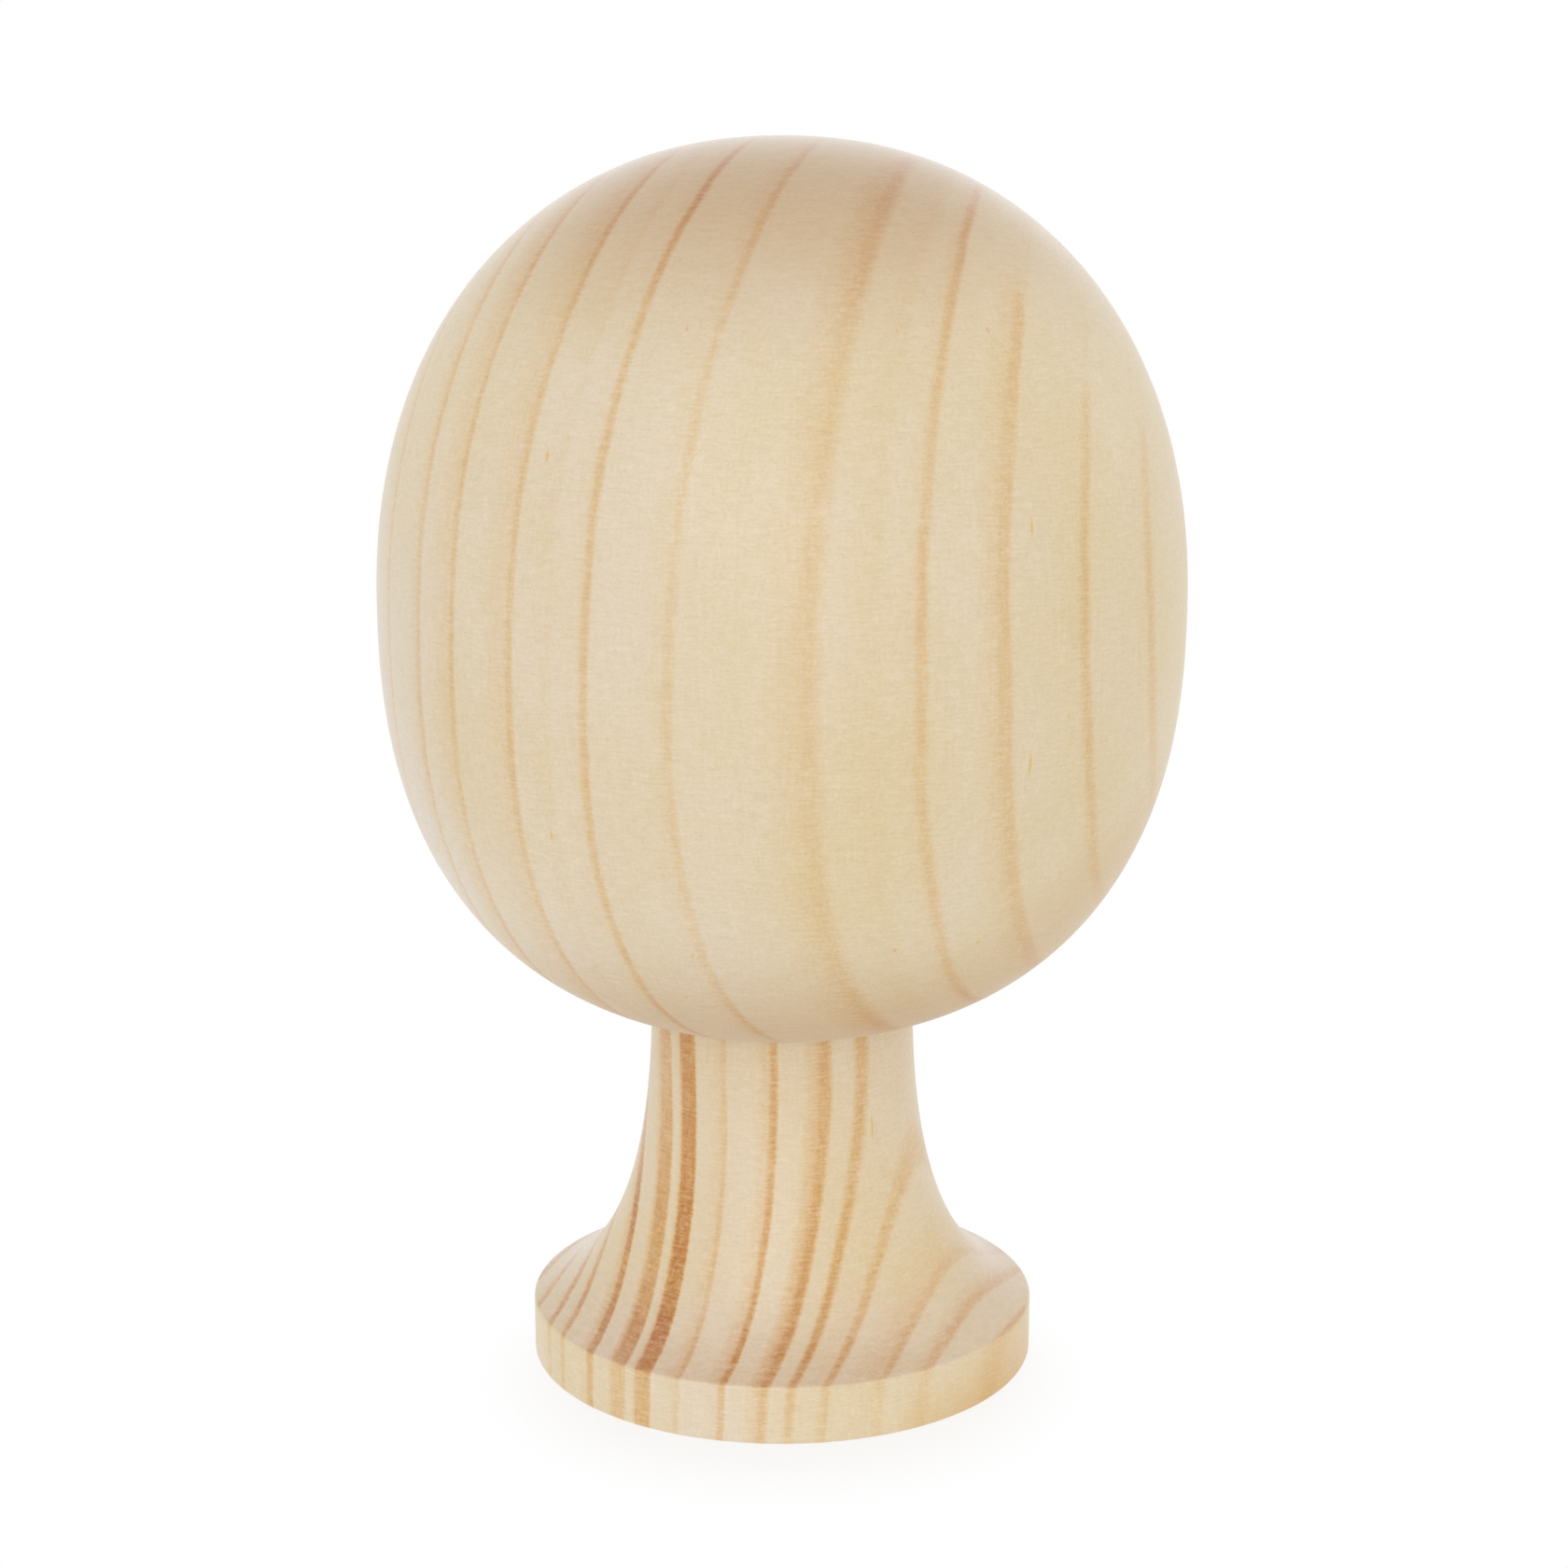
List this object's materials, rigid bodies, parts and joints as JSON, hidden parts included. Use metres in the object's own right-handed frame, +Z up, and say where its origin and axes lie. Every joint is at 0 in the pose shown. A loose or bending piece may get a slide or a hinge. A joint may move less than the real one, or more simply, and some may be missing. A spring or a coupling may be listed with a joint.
{
  "type": "turned wooden ball on a foot",
  "caption": "Turned pine ball, a little taller than wide, glued on a short flared round foot; stands on a desk or bench as an ornament, rest or form.",
  "frame": {"origin": "centre of the foot's flat underside", "axes": "+Z up along the turning axis; the part is round about it, so X and Y are free"},
  "size_m": [0.078, 0.078, 0.12],
  "materials": {
    "ball_pine": "bare sanded, satin",
    "foot_pine": "bare sanded, satin"
  },
  "bodies": {
    "root": {"ball": "ball_pine", "foot": "foot_pine"}
  },
  "joints": []
}
